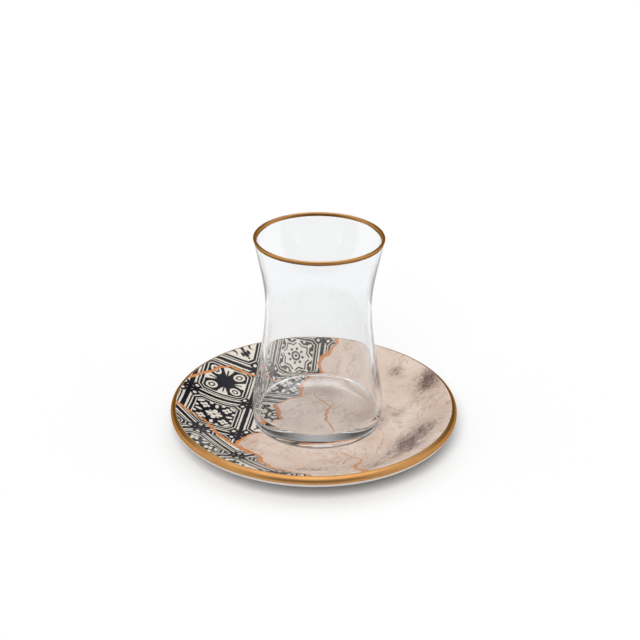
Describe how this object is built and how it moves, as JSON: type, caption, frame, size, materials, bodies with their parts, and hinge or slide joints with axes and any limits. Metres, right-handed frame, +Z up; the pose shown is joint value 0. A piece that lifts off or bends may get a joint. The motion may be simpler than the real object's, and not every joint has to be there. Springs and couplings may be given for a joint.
{
  "type": "turkish tea glass with saucer",
  "caption": "Clear waisted tea glass with a gilded rim, empty, standing in a round porcelain saucer with a patchwork tile and marble print and a gilded edge.",
  "frame": {"origin": "the middle of the saucer's foot ring, at table level", "axes": "+Z up along the saucer's axis; the view of the picture looks along +Y and down, with +X to its right"},
  "size_m": [0.125, 0.125, 0.0915],
  "materials": {
    "clear_glass": "clear polished soda-lime glass with a burnished gold film round the rim",
    "printed_porcelain": "white porcelain under a glossy glaze, printed with blue-black and cream tiles and beige marble, its edge gilded",
    "gilding": "burnished gold film fired on the glass's rim and the saucer's edge"
  },
  "bodies": {
    "root": {"tea_glass": "clear_glass", "saucer": "printed_porcelain"}
  },
  "joints": []
}
